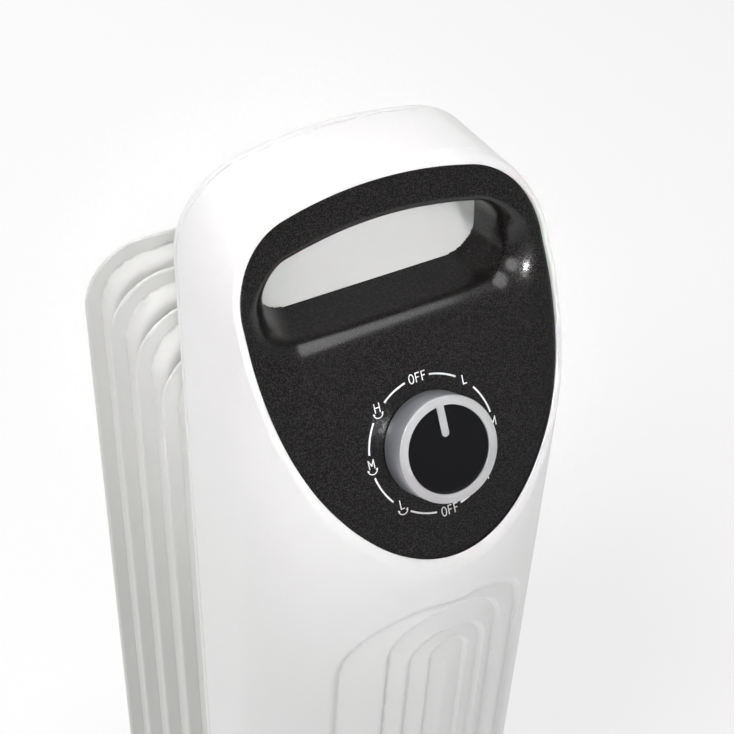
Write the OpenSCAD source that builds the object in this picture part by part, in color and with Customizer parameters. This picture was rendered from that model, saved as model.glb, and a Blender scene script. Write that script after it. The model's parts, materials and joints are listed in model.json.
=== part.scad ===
// Compact oil-filled radiator heater: a control tower with a sloping control panel and a
// carrying handle, five oil-filled fins behind it, and four swivel castors.
// Front is -Y, up is +Z. The origin is on the floor, under the middle of the heater.

/* [Tower] */
// Width of the tower housing
tower_w = 160; // [156:1:164]
// Height of the tower's top above the floor
tower_top = 640; // [630:1:660]
// Depth of the tower from its nose to its flat back
tower_d = 132; // [130:1:136]
// Lean of the front wall back from vertical, in degrees
front_lean = 6.3; // [5:0.1:7]
// Wall thickness of the housing
wall = 3; // [2.5:0.1:3.5]
// Depth of the rear cover
rear_cover_d = 9; // [8:0.5:10]
// Height of the housing's lower edge above the floor
base_z = 70; // [70:1:76]

/* [Control panel] */
// Angle of the control panel back from vertical
panel_tilt = 26; // [24:0.5:28]
// Depth of the dial's centre behind the nose
dial_y = 27.5; // [26:0.5:29]
// Drop of the dial's centre below the tower's top
dial_drop = 119; // [117:1:121]
// Height of the rim that stands round the panel
rim_h = 2; // [1:0.5:3]
// Thickness of the panel
panel_t = 3; // [2.5:0.5:3.5]

/* [Handle] */
// Half width of the hand opening
grip_half_w = 60; // [56:1:61]
// Lower edge of the hand opening above the dial's centre
grip_low = 53; // [51:1:58]
// Upper edge of the hand opening above the dial's centre
grip_high = 95; // [92:1:96]
// Corner radius of the hand opening
grip_r = 15; // [12:1:18]
// Distance from the nose to the back edge of the black tunnel
tunnel_y = 90; // [88:1:94]
// Distance from the nose to the deepest point of the finger pocket
pocket_y = 122; // [118:1:124]

/* [Knob] */
// Diameter of the knob at its base
knob_d = 50; // [46:1:52]
// Height of the knob above the panel
knob_h = 16; // [14:1:18]
// Diameter of the black insert in the knob's face
insert_d = 41; // [38:1:43]
// Diameter of the switch shaft
shaft_d = 6; // [5:0.5:7]

/* [Fins] */
// Width of a fin
fin_w = 136; // [130:1:144]
// Height of a fin
fin_h = 420; // [400:5:430]
// Height of the fins' lower edge above the floor
fin_z = 70; // [70:1:74]
// Distance from fin to fin
fin_pitch = 34; // [32:1:38]
// Thickness of a fin over its oil channels
fin_t = 22; // [20:1:24]
// Corner radius of a fin
fin_r = 36; // [30:1:40]
// Thickness of the pressed steel sheet
sheet_t = 1.2; // [1:0.1:1.5]

/* [Castors] */
// Distance between the left and right castors
castor_span = 200; // [190:2:210]
// Diameter of a castor wheel
wheel_d = 40; // [38:1:42]
// Width of a castor wheel
wheel_w = 16; // [14:1:17]
// Trail of the wheel behind its swivel axis
trail = 10; // [8:1:12]
// Radial clearance of each pin in its bore
running = 0.05; // [0.03:0.01:0.08]

/* [Hidden] */
$fn = 64;

fins = 5;
gap = 0.3;
dial_z = tower_top - dial_drop;
seam_y = tower_d - rear_cover_d;

// Plan of the tower: one nose arc between two flat sides. The nose is furthest forward at nose_z.
nose_r = 88.6;
nose_z = dial_z - 52;

// Arch of the tower, and the smaller arch of the panel inside it.
arch_r = 223;
arch_corner = 45;
panel_arch_r = 219;
panel_corner = 37;
panel_top = tower_top - 6.5;

// Fins
plate_y = tower_d;
plate_t = 2;
first_fin_y = plate_y + 21;
last_fin_y = first_fin_y + (fins - 1) * fin_pitch;
gallery_r = 23;
gallery_bore = 18;
gallery_low = fin_z + 38;
gallery_high = fin_z + fin_h - 38;
web_t = 2 * sheet_t;
plug_h = 4;

// The whole depth, from the nose to the filler plug.
total_d = last_fin_y + fin_t / 2 + plug_h;

// Castors
wheel_r = wheel_d / 2;
stem_r = 4;
axle_r = 2.5;
crown_z = wheel_d + 4;
crown_t = 3;
bush_z = crown_z + crown_t + 1;
bush_h = 14;
cheek_x = wheel_w / 2 + 1.5;
cheek_t = 2;
bracket_t = 3;
bracket_w = 30;
bracket_low = bush_z + 2;
front_castor_y = 75;
rear_castor_y = first_fin_y + 3.5 * fin_pitch;
castor_places = [
  [-castor_span / 2, front_castor_y], [castor_span / 2, front_castor_y],
  [-castor_span / 2, rear_castor_y], [castor_span / 2, rear_castor_y]
];

// Cord inlet, in the base plate behind the front bracket
gland_x = 45;
gland_y = 106;
gland_bore_r = 3.75;
gland_neck_r = 7;

// Places the heater, drawn from its nose, over the origin.
module placed() {
  translate([0, -total_d / 2, 0]) children();
}

// The dial's own frame: +Z out of the panel, +Y up its slope.
module at_dial() {
  translate([0, dial_y, dial_z]) rotate([90 - panel_tilt, 0, 0]) children();
}

// Turns a flat drawing of x and z into a solid from y_front to y_back.
module run_back(y_front, y_back) {
  translate([0, y_back, 0]) rotate([90, 0, 0]) linear_extrude(y_back - y_front) children();
}

module plan_2d(inset) {
  intersection() {
    translate([inset - tower_w / 2, -1]) square([tower_w - 2 * inset, 3 * tower_d]);
    union() {
      translate([0, nose_r]) circle(nose_r - inset, $fn = 128);
      translate([-tower_w, nose_r]) square([2 * tower_w, 3 * tower_d]);
    }
  }
}

// The straight and arched pieces stop lap short of where they touch the corner circles.
lap = 3;
module arch_2d(half_w, top, top_r, corner) {
  corner_x = half_w - corner;
  corner_z = top - top_r + sqrt((top_r - corner) ^ 2 - corner_x ^ 2);
  meet_x = corner_x * top_r / (top_r - corner);
  translate([-half_w, 0]) square([2 * half_w, corner_z - lap]);
  for (side = [-1, 1]) translate([side * corner_x, corner_z]) circle(corner, $fn = 96);
  intersection() {
    translate([0, top - top_r]) circle(top_r, $fn = 180);
    translate([lap - meet_x, corner_z - 3 * lap]) square([2 * (meet_x - lap), top_r]);
  }
}

// The tower's plan, run up along the leaning front.
module leaning_plan(inset) {
  translate([0, 0, nose_z]) rotate([front_lean, 0, 0])
    translate([0, 0, -1.2 * nose_z]) linear_extrude(1.2 * nose_z + 250) plan_2d(inset);
}

module outer_form(y_back) {
  intersection() {
    leaning_plan(0);
    run_back(-40, y_back) arch_2d(tower_w / 2, tower_top, arch_r, arch_corner);
  }
}

module inner_form(inset, y_back) {
  intersection() {
    leaning_plan(inset);
    run_back(-60, y_back)
      arch_2d(tower_w / 2 - inset, panel_top + wall - inset, panel_arch_r, panel_corner);
  }
}

// Everything more than height h in front of the panel's face.
module before_panel(h) {
  at_dial() translate([-200, -300, h]) cube([400, 600, 200]);
}

module below_base() {
  translate([-200, -100, -10]) cube([400, 400, base_z + 10]);
}

screw_r = 2;
boss_r = 4.6;
boss_l = 22;
module front_cover() {
  color("white") placed() {
    difference() {
      outer_form(seam_y);
      inner_form(wall, seam_y + 1);
      before_panel(rim_h);
      below_base();
    }
    cover_screw_places() rotate([90, 0, 0]) difference() {
      translate([0, 0, rear_cover_d]) cylinder(r = boss_r, h = boss_l);
      translate([0, 0, rear_cover_d - 1]) cylinder(r = screw_r, h = boss_l - 4);
    }
  }
}

vent_rows = 5;
vent_pitch = 9;
module rear_cover() {
  color("white") placed() difference() {
    intersection() {
      outer_form(tower_d);
      translate([-200, seam_y, base_z + base_t + gap]) cube([400, rear_cover_d, tower_top]);
    }
    inner_form(wall, tower_d - wall);
    for (row = [0 : vent_rows - 1], side = [-1, 1])
      translate([side * 32 - 22, seam_y, fin_z + fin_h + 12 + row * vent_pitch])
        cube([44, rear_cover_d + 1, 3.2]);
    translate([0, tower_d + 1, gallery_low]) rotate([90, 0, 0]) cylinder(r = 27, h = 10);
    cover_screw_places() rotate([90, 0, 0]) cylinder(r = screw_r + 0.2, h = 20, center = true);
    plate_screw_places() rotate([90, 0, 0]) cylinder(r = screw_r + 0.2, h = 20, center = true);
  }
}

module cover_screw_places() {
  for (side = [-1, 1], z = [base_z + 14, dial_z + 30])
    translate([side * (tower_w / 2 - wall - boss_r + 0.4), tower_d, z]) children();
}

module plate_screw_places() {
  for (side = [-1, 1], z = [gallery_low + 36, gallery_high - 36])
    translate([side * 46, plate_y + plate_t, z]) children();
}

module cover_screws() {
  color("silver") placed() cover_screw_places() rotate([-90, 0, 0]) {
    difference() {
      cylinder(r = 3.8, h = 2);
      translate([-3, -0.5, 1]) cube([6, 1, 2]);
      translate([-0.5, -3, 1]) cube([1, 6, 2]);
    }
    translate([0, 0, -18]) cylinder(r = screw_r, h = 18);
  }
}

// Outline of the hand opening, its upper edge parallel to the arch of the panel.
module grip_2d(extra) {
  half_w = grip_half_w + extra;
  low = dial_z + grip_low - extra;
  high = dial_z + grip_high + extra;
  corner = grip_r + extra;
  intersection() {
    union() {
      for (x = [-1, 1], z = [low + corner, high - corner])
        translate([x * (half_w - corner), z]) circle(corner);
      translate([-half_w, low + corner]) square([2 * half_w, high - low - 2 * corner]);
      translate([corner - half_w, low]) square([2 * (half_w - corner), high - low]);
    }
    translate([0, high + 1 - panel_arch_r]) circle(panel_arch_r, $fn = 180);
  }
}

tunnel_wall = 2.2;
module control_panel() {
  color("#2d2a2a") placed() difference() {
    union() {
      intersection() {
        inner_form(wall + gap, tower_d);
        at_dial() translate([-200, -300, -panel_t]) cube([400, 600, panel_t]);
      }
      difference() {
        run_back(dial_y, tunnel_y) grip_2d(tunnel_wall);
        before_panel(0);
      }
    }
    run_back(0, tunnel_y + 1) grip_2d(0);
    at_dial() cylinder(r = shaft_d / 2 + 2, h = 20, center = true);
  }
}

pocket_wall = 2.4;
scoop_r = 38;
module handle_pocket() {
  color("white") placed() difference() {
    run_back(tunnel_y + gap, tower_d - wall) grip_2d(tunnel_wall + 1);
    intersection() {
      run_back(tunnel_y - 1, pocket_y) grip_2d(tunnel_wall + 1 - pocket_wall);
      translate([-100, pocket_y - scoop_r, dial_z + grip_high - 5]) rotate([0, 90, 0])
        cylinder(r = scoop_r, h = 200, $fn = 96);
    }
  }
}

knob_gap = 0.6;
pointer_w = 5;
pointer_l = 14;
module control_knob() {
  color("silver") placed() at_dial() difference() {
    union() {
      translate([0, 0, knob_gap]) cylinder(d1 = knob_d, d2 = knob_d - 3, h = knob_h - knob_gap - 1);
      translate([0, 0, knob_h - 1]) cylinder(d1 = knob_d - 3, d2 = knob_d - 5, h = 1);
    }
    translate([0, 0, knob_h - 3]) difference() {
      cylinder(d = insert_d, h = 4);
      translate([-pointer_w / 2, insert_d / 2 - pointer_l, -1]) cube([pointer_w, pointer_l, 6]);
    }
    translate([0, 0, -1]) cylinder(r = shaft_d / 2 + running, h = knob_h - 4);
    difference() {
      cylinder(d = knob_d - 7, h = knob_h - 5);
      translate([0, 0, -1]) cylinder(d = 14, h = knob_h);
    }
  }
}

module knob_insert() {
  color("black") placed() at_dial() difference() {
    translate([0, 0, knob_h - 3]) cylinder(d = insert_d - 0.2, h = 2.6);
    translate([-pointer_w / 2 - 0.1, insert_d / 2 - pointer_l - 0.1, knob_h - 4])
      cube([pointer_w + 0.2, pointer_l + 1, 6]);
  }
}

module switch_shaft() {
  color("gray") placed() at_dial() translate([0, 0, -14])
    cylinder(d = shaft_d, h = knob_h + 9);
}

module rotary_switch() {
  color("ivory") placed() at_dial() difference() {
    union() {
      translate([-18, -18, -38]) cube([36, 36, 24]);
      translate([0, 0, -14]) cylinder(r = 7, h = 4);
      for (side = [-1, 1], row = [-1, 0, 1])
        translate([side * 18 - 1, row * 10 - 3, -44]) cube([0.8, 6, 6.5]);
    }
    translate([0, 0, -15]) cylinder(r = shaft_d / 2 + running, h = 10);
    for (side = [-1, 1]) translate([side * bracket_hole / 2, 0, -19]) cylinder(r = 1.6, h = 10);
  }
}

bracket_hole = 24;
module switch_bracket() {
  color("lightgray") placed() at_dial() difference() {
    union() {
      translate([-30, -12, -14]) cube([60, 24, 1.5]);
      for (side = [-1, 1]) translate([side * 30 - 4, -12, -14]) cube([8, 24, 14 - panel_t]);
    }
    cylinder(r = 7.5, h = 60, center = true);
    for (side = [-1, 1]) translate([side * bracket_hole / 2, 0, -20]) cylinder(r = 1.6, h = 10);
  }
}

module switch_screws() {
  color("silver") placed() at_dial() for (side = [-1, 1])
    translate([side * bracket_hole / 2, 0, -12.5]) {
      cylinder(r = 2.8, h = 1.8);
      translate([0, 0, -6]) cylinder(r = 1.5, h = 6);
    }
}

module thermal_cutout() {
  color("dimgray") placed() translate([38, plate_y - wall, gallery_low + 60]) rotate([90, 0, 0]) {
    cylinder(r = 8, h = 9);
    translate([-12, -5, 0]) cube([24, 10, 1.5]);
    for (side = [-1, 1]) translate([side * 3.5 - 0.4, -3, 9]) cube([0.8, 6, 8]);
  }
}

module tilt_switch() {
  color("ivory") placed() translate([-44, plate_y - wall, gallery_low + 46]) {
    translate([-10, -24, 0]) cube([20, 24, 32]);
    translate([-1, -32, 10]) cube([2, 8, 6]);
  }
}

module terminal_block() {
  color("white") placed() translate([20, plate_y - wall - 16, gallery_low + 110]) difference() {
    cube([34, 16, 22]);
    for (pole = [0 : 2]) {
      translate([7 + pole * 10, -1, 15]) rotate([-90, 0, 0]) cylinder(r = 2, h = 8);
      translate([7 + pole * 10, 9, -1]) cylinder(r = 1.6, h = 12);
    }
  }
}

gland_nut_t = 3;
gland_clear = 0.1;
module cord_gland() {
  color("#222222") placed() translate([gland_x, gland_y, base_z]) rotate([180, 0, 0])
    difference() {
      union() {
        cylinder(r1 = 10, r2 = 8.5, h = 4);
        translate([0, 0, -base_t - gland_nut_t])
          cylinder(r = gland_neck_r - gland_clear, h = base_t + gland_nut_t);
        translate([0, 0, -base_t - gland_nut_t]) cylinder(r = 9, h = gland_nut_t - gland_clear);
      }
      translate([0, 0, -20]) cylinder(r = gland_bore_r, h = 40);
    }
}

base_t = 2;
module base_plate() {
  color("lightgray") placed() difference() {
    intersection() {
      leaning_plan(wall + gap);
      translate([-200, -20, base_z]) cube([400, plate_y + plate_t + 20, base_t]);
    }
    foot_bolt_places() cylinder(r = 3.2, h = 30, center = true);
    translate([gland_x, gland_y, 0]) cylinder(r = gland_neck_r, h = 2 * base_z);
  }
}

module foot_bolt_places() {
  for (side = [-1, 1]) translate([side * 30, front_castor_y, base_z]) children();
}

module mounting_plate() {
  color("lightgray") placed() difference() {
    translate([-56, plate_y, base_z + base_t]) cube([112, plate_t, fin_h - 16]);
    for (z = [gallery_low, gallery_high])
      translate([0, plate_y + plate_t + 1, z]) rotate([90, 0, 0]) cylinder(r = gallery_bore, h = 10);
    plate_screw_places() rotate([90, 0, 0]) cylinder(r = screw_r + 0.2, h = 20, center = true);
  }
}

module plate_screws() {
  color("silver") placed() plate_screw_places() rotate([-90, 0, 0]) {
    cylinder(r = 4.5, h = 3, $fn = 6);
    translate([0, 0, -plate_t - wall - 2]) cylinder(r = screw_r, h = plate_t + wall + 2);
  }
}

module rounded_2d(w, h, r) {
  for (x = [-1, 1], z = [-1, 1]) translate([x * (w / 2 - r), z * (h / 2 - r)]) circle(r);
  square([w - 2 * r, h], center = true);
  square([w, h - 2 * r], center = true);
}

channel_w = 16;
channel_in = 9;
// The pressed oil channels: a loop round the fin, two risers and the two gallery pads.
module channels_2d(shrink) {
  loop_w = fin_w - 2 * channel_in;
  loop_h = fin_h - 2 * channel_in;
  loop_r = fin_r - channel_in;
  bar = channel_w - 2 * shrink;
  difference() {
    rounded_2d(loop_w - 2 * shrink, loop_h - 2 * shrink, loop_r - shrink);
    rounded_2d(loop_w - 2 * (channel_w - shrink), loop_h - 2 * (channel_w - shrink),
      loop_r - channel_w + shrink);
  }
  for (side = [-1, 1]) translate([side * 17 - bar / 2, -loop_h / 2 + channel_w / 2])
    square([bar, loop_h - channel_w]);
  for (z = [gallery_low, gallery_high])
    translate([0, z - fin_z - fin_h / 2]) circle(gallery_r + 5 - shrink);
}

module fin(number) {
  y = first_fin_y + (number - 1) * fin_pitch;
  color("whitesmoke") placed() translate([0, y, fin_z + fin_h / 2]) difference() {
    union() {
      run_back(-web_t / 2, web_t / 2) rounded_2d(fin_w, fin_h, fin_r);
      run_back(-fin_t / 2, fin_t / 2) channels_2d(0);
    }
    run_back(sheet_t - fin_t / 2, fin_t / 2 - sheet_t) channels_2d(sheet_t);
    for (z = [gallery_low, gallery_high])
      translate([0, 0, z - fin_z - fin_h / 2]) rotate([90, 0, 0])
        cylinder(r = gallery_bore, h = 2 * fin_t, center = true);
  }
}

// Welded rings that join the fins, from the mounting plate to the last fin.
module gallery(z) {
  color("whitesmoke") placed() for (joint = [0 : fins - 1]) {
    y_front = joint == 0 ? plate_y + plate_t : first_fin_y + (joint - 1) * fin_pitch + fin_t / 2;
    y_back = first_fin_y + joint * fin_pitch - fin_t / 2;
    translate([0, y_back, z]) rotate([90, 0, 0]) difference() {
      cylinder(r = gallery_r, h = y_back - y_front);
      translate([0, 0, -1]) cylinder(r = gallery_bore, h = y_back - y_front + 2);
    }
  }
}

module upper_gallery() {
  gallery(gallery_high);
}

module lower_gallery() {
  gallery(gallery_low);
}

rod_r = 4;
rod_x = 9;
plug_t = 8;
gasket_t = 2;
module heating_element() {
  rod_end = last_fin_y - 6;
  color("silver") placed() translate([0, 0, gallery_low]) {
    translate([0, plate_y - gasket_t, 0]) rotate([90, 0, 0]) cylinder(r = 24, h = plug_t);
    translate([0, plate_y + 4, 0]) rotate([90, 0, 0]) cylinder(r = 17, h = 4 + gasket_t);
    for (side = [-1, 1]) {
      translate([side * rod_x, rod_end, 0]) rotate([90, 0, 0])
        cylinder(r = rod_r, h = rod_end - plate_y);
      translate([side * rod_x, plate_y - gasket_t - plug_t, 0]) rotate([90, 0, 0])
        cylinder(r = 2, h = 14);
    }
    translate([0, rod_end, 0]) rotate_extrude(angle = 180) translate([rod_x, 0]) circle(rod_r);
  }
}

module element_gasket() {
  color("#8a3b2c") placed() translate([0, plate_y, gallery_low]) rotate([90, 0, 0])
    difference() {
      cylinder(r = 24, h = gasket_t);
      translate([0, 0, -1]) cylinder(r = 17.2, h = 4);
    }
}

module filler_plug() {
  color("silver") placed() for (z = [gallery_low, gallery_high])
    translate([0, last_fin_y + fin_t / 2, z]) rotate([-90, 0, 0]) {
      cylinder(r = gallery_r, h = 1.5);
      cylinder(r = 9, h = plug_h, $fn = 6);
    }
}

// A pressed strip: a flat middle under the heater and a lower seat at each castor.
module foot_bracket(y) {
  half = castor_span / 2;
  seat = 15;
  top = base_z - gap;
  color("whitesmoke") placed() difference() {
    run_back(y - bracket_w / 2, y + bracket_w / 2) polygon([
      [-half - seat, bracket_low], [-half + seat, bracket_low], [-half + seat + 14, top - bracket_t],
      [half - seat - 14, top - bracket_t], [half - seat, bracket_low], [half + seat, bracket_low],
      [half + seat, bracket_low + bracket_t], [half - seat - 1, bracket_low + bracket_t],
      [half - seat - 15, top], [-half + seat + 15, top], [-half + seat + 1, bracket_low + bracket_t],
      [-half - seat, bracket_low + bracket_t]
    ]);
    for (side = [-1, 1]) {
      translate([side * half, y, 0]) cylinder(r = 8, h = 200);
      translate([side * 30, y, 0]) cylinder(r = 3.2, h = 200);
    }
  }
}

module front_foot_bracket() {
  foot_bracket(front_castor_y);
}

module rear_foot_bracket() {
  foot_bracket(rear_castor_y);
}

module castor_bushes() {
  color("#222222") placed() for (place = castor_places)
    translate([place[0], place[1], bush_z]) difference() {
      union() {
        cylinder(r = 8, h = bush_h);
        cylinder(r = 11, h = 2);
      }
      translate([0, 0, -1]) cylinder(r = stem_r + running, h = bush_h + 2);
    }
}

module foot_bolts() {
  color("silver") placed() foot_bolt_places() {
    translate([0, 0, base_t]) cylinder(r = 5.5, h = 3.5, $fn = 6);
    translate([0, 0, -10]) cylinder(r = 3, h = 10 + base_t);
    translate([0, 0, -gap - bracket_t - 4.5]) cylinder(r = 5.5, h = 4.5, $fn = 6);
  }
}

hook_x = 30;
hook_rod = 2.5;
// Hooks that hang over the lower gallery between the last two fins.
module hook_bolts() {
  bend = 8;
  color("silver") placed() translate([0, rear_castor_y, 0]) for (side = [-1, 1]) {
    translate([side * hook_x, 0, base_z - 14])
      cylinder(r = hook_rod, h = gallery_low + 34 - base_z);
    translate([side * (hook_x - bend), 0, gallery_low + 20]) rotate([90, 0, 0])
      rotate([0, 0, side > 0 ? 0 : 90]) rotate_extrude(angle = 90) translate([bend, 0])
        circle(hook_rod);
    translate([side * (hook_x - bend), 0, gallery_low + 20 + bend]) rotate([0, -90 * side, 0])
      cylinder(r = hook_rod, h = hook_x - bend);
  }
}

module wing_nuts() {
  color("silver") placed() for (side = [-1, 1])
    translate([side * hook_x, rear_castor_y, base_z - gap - bracket_t - 6]) difference() {
      union() {
        cylinder(r = 5, h = 6);
        for (wing = [-1, 1]) translate([wing * 9 - 5, -1, -3]) cube([10, 2, 8]);
      }
      translate([0, 0, -1]) cylinder(r = hook_rod, h = 8);
    }
}

module castor_fork(number) {
  place = castor_places[number - 1];
  cheek_low = wheel_r - 6;
  color("#3a3a3c") placed() translate([place[0], place[1], 0]) difference() {
    union() {
      translate([0, 0, crown_z]) cylinder(r = 14, h = crown_t);
      translate([0, 0, crown_z]) cylinder(r = stem_r, h = crown_t + bush_h + 2);
      translate([0, 0, bush_z + bush_h + 0.5]) cylinder(r = 6, h = 2);
      for (side = [-1, 1]) translate([side * (cheek_x + cheek_t / 2) - cheek_t / 2, -8, wheel_r])
        cube([cheek_t, 24, crown_z - wheel_r]);
      for (side = [-1, 1]) translate([side * (cheek_x + cheek_t / 2), trail, wheel_r])
        rotate([0, 90, 0]) cylinder(r = 7, h = cheek_t, center = true);
      translate([-cheek_x, -8, crown_z - 2]) cube([2 * cheek_x, 24, 2]);
    }
    translate([0, trail, wheel_r]) rotate([0, 90, 0]) cylinder(r = axle_r, h = 100, center = true);
  }
}

module castor_axle(number) {
  place = castor_places[number - 1];
  half_l = cheek_x + cheek_t + 0.5;
  color("silver") placed() translate([place[0], place[1] + trail, wheel_r]) rotate([0, 90, 0])
    cylinder(r = axle_r, h = 2 * half_l, center = true);
}

module castor_wheel(number) {
  place = castor_places[number - 1];
  color("#26262a") placed() translate([place[0], place[1] + trail, wheel_r]) rotate([0, 90, 0])
    difference() {
      rotate_extrude($fn = 96) polygon([
        [axle_r + running, -wheel_w / 2 - 0.5], [6, -wheel_w / 2 - 0.5], [6, -wheel_w / 2 + 3],
        [wheel_r - 5, -wheel_w / 2 + 3], [wheel_r - 4, -wheel_w / 2], [wheel_r - 1.5, -wheel_w / 2],
        [wheel_r, -wheel_w / 2 + 2.5], [wheel_r, wheel_w / 2 - 2.5], [wheel_r - 1.5, wheel_w / 2],
        [wheel_r - 4, wheel_w / 2], [wheel_r - 5, wheel_w / 2 - 3], [6, wheel_w / 2 - 3],
        [6, wheel_w / 2 + 0.5], [axle_r + running, wheel_w / 2 + 0.5]
      ]);
    }
}

front_cover();
rear_cover();
control_panel();
handle_pocket();
control_knob();
knob_insert();
switch_shaft();
rotary_switch();
switch_bracket();
switch_screws();
thermal_cutout();
tilt_switch();
terminal_block();
cord_gland();
base_plate();
mounting_plate();
cover_screws();
plate_screws();
fin(1);  // fin_1
fin(2);  // fin_2
fin(3);  // fin_3
fin(4);  // fin_4
fin(5);  // fin_5
upper_gallery();
lower_gallery();
heating_element();
element_gasket();
filler_plug();
front_foot_bracket();
rear_foot_bracket();
castor_bushes();
foot_bolts();
hook_bolts();
wing_nuts();
castor_fork(1);  // castor_fork_1
castor_fork(2);  // castor_fork_2
castor_fork(3);  // castor_fork_3
castor_fork(4);  // castor_fork_4
castor_axle(1);  // castor_axle_1
castor_axle(2);  // castor_axle_2
castor_axle(3);  // castor_axle_3
castor_axle(4);  // castor_axle_4
castor_wheel(1);  // castor_wheel_1
castor_wheel(2);  // castor_wheel_2
castor_wheel(3);  // castor_wheel_3
castor_wheel(4);  // castor_wheel_4
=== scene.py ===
import json
import math

import bmesh
import bpy
import numpy as np
from mathutils import Matrix, Vector


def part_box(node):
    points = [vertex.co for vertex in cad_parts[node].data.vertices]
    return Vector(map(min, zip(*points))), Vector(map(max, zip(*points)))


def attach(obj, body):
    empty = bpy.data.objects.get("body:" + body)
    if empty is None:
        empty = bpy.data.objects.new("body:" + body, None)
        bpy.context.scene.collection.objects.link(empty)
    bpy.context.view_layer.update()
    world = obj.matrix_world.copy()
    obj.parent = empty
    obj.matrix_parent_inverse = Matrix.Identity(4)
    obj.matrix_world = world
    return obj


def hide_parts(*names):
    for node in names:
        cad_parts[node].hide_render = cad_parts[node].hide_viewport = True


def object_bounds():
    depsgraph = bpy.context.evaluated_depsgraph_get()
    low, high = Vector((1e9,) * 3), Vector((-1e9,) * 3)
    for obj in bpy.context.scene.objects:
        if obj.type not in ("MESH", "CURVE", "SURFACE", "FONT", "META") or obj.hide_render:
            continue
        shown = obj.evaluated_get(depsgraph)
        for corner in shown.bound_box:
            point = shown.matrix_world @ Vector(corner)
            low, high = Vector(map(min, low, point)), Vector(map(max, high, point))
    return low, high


# A compact oil-filled radiator heater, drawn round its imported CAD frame. Shapes are worked out in
# millimetres from the tower's nose: x to the right, y back from the nose, z up from the floor.

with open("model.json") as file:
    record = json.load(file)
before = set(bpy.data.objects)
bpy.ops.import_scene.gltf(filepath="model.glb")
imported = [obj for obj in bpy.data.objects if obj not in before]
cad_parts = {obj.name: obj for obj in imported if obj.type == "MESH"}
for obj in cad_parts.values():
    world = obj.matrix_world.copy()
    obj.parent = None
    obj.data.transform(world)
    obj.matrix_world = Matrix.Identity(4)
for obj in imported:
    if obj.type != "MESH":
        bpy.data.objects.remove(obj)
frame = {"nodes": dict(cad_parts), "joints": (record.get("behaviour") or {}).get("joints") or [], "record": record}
CAD_LOW, CAD_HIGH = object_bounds()
NODES = frame["nodes"]
MM = 1000.0


def to_object(points):
    """Millimetres from the nose to metres in the object's frame."""
    return np.asarray(points, float) / MM + np.array([0.0, CAD_LOW.y, 0.0])


def to_tower(point):
    """Metres in the object's frame to millimetres from the nose."""
    return (np.asarray(point, float) - np.array([0.0, CAD_LOW.y, 0.0])) * MM


def node_box(name):
    low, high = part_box(name)
    return to_tower(low), to_tower(high)


# ---------------------------------------------------------------- driving dimensions, in mm
shell_low, shell_high = node_box("front_cover")
cover_low, cover_high = node_box("rear_cover")
tunnel_high = node_box("control_panel")[1]
pocket_low, pocket_high = node_box("handle_pocket")
HALF_W = shell_high[0]
TOWER_TOP = shell_high[2]
BASE_Z = shell_low[2]
SEAM_Y = shell_high[1]
BACK_Y = cover_high[1]
TUNNEL_Y = tunnel_high[1]
WALL = 3.0

knob_joint = next(j for j in frame["joints"] if j["name"] == "knob_turn")
DIAL = to_tower(knob_joint["pos_m"])
NORMAL = np.array(knob_joint["axis"], float)
UPSLOPE = np.array([0.0, NORMAL[2], -NORMAL[1]])
DIAL_Y, DIAL_Z = DIAL[1], DIAL[2]

# Plan of the tower: a nose arc, two shoulder arcs and flat sides, leaning about the nose.
LEAN = math.radians(6.3)
NOSE_Z = DIAL_Z - 52.0
NOSE_R = 88.6
SHOULDER_X = 18.0
SHOULDER_Y = 69.0
SHOULDER_R = HALF_W - SHOULDER_X

# Arch of the tower and of the recess for the panel: top, crown radius and corner radius
ARCH_R, ARCH_CORNER = 223.0, 45.0
PANEL_TOP, PANEL_R, PANEL_CORNER = TOWER_TOP - 6.5, 219.0, 37.0
CORNER_Z = TOWER_TOP - ARCH_R + math.sqrt(
    (ARCH_R - ARCH_CORNER) ** 2 - (HALF_W - ARCH_CORNER) ** 2
)
# Edge roundings of the tower: round its crown, round its back and along the two covers' joint
CROWN_ROUND, REAR_ROUND, SEAM_ROUND, SEAM_GAP = 20.0, 8.0, 0.9, 0.1

# Rim round the panel and the hand opening
RIM_H, RIM_ROUND, RIM_INNER_ROUND = 2.0, 2.2, 0.8
SHELL_DROP = 2.5
RELIEF_TOP, RELIEF_BACKING = 458.0, 3.0

# The panel, and the hand opening's low and high edges, half widths, corner and edge roundings
PANEL_T, PANEL_TUCK = 2.5, 0.9
GROOVE_W, GROOVE_ROUND = 0.4, 0.9
GRIP_LOW, GRIP_HIGH = DIAL_Z + 53.0, DIAL_Z + 95.0
GRIP_FRONT_W, GRIP_BACK_W = 66.0, 57.0
GRIP_CORNER, GRIP_TOP_ROUND = 15.0, 12.0
GRIP_TOP_R = 219.0
LIP_TOP_R, LIP_R, LIP_FLARE = 4.0, 9.5, 2.5
FLARE_START, FLARE_RUN, TOP_EASE = 25.0, 40.0, 1.6


# ---------------------------------------------------------------- distance fields
def both(a, b, radius=0.0):
    """Inside a and b, with the outer edge where they meet rounded to radius."""
    u, v = a + radius, b + radius
    return (
        np.hypot(np.maximum(u, 0), np.maximum(v, 0)) + np.minimum(np.maximum(u, v), 0) - radius
    )


def either(a, b, radius=0.0):
    """Inside a or b, with a fillet of radius where they meet."""
    return -both(-a, -b, radius)


def rounded_rect(x, z, half_w, half_h, corner):
    """Distance outside an upright rectangle with round corners."""
    u, v = np.abs(x) - half_w + corner, np.abs(z) - half_h + corner
    return np.hypot(np.maximum(u, 0), np.maximum(v, 0)) + np.minimum(np.maximum(u, v), 0) - corner


def smooth(share):
    """Eases a share that runs from 0 to 1 at both of its ends."""
    return share * share * (3 - 2 * share)


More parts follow.
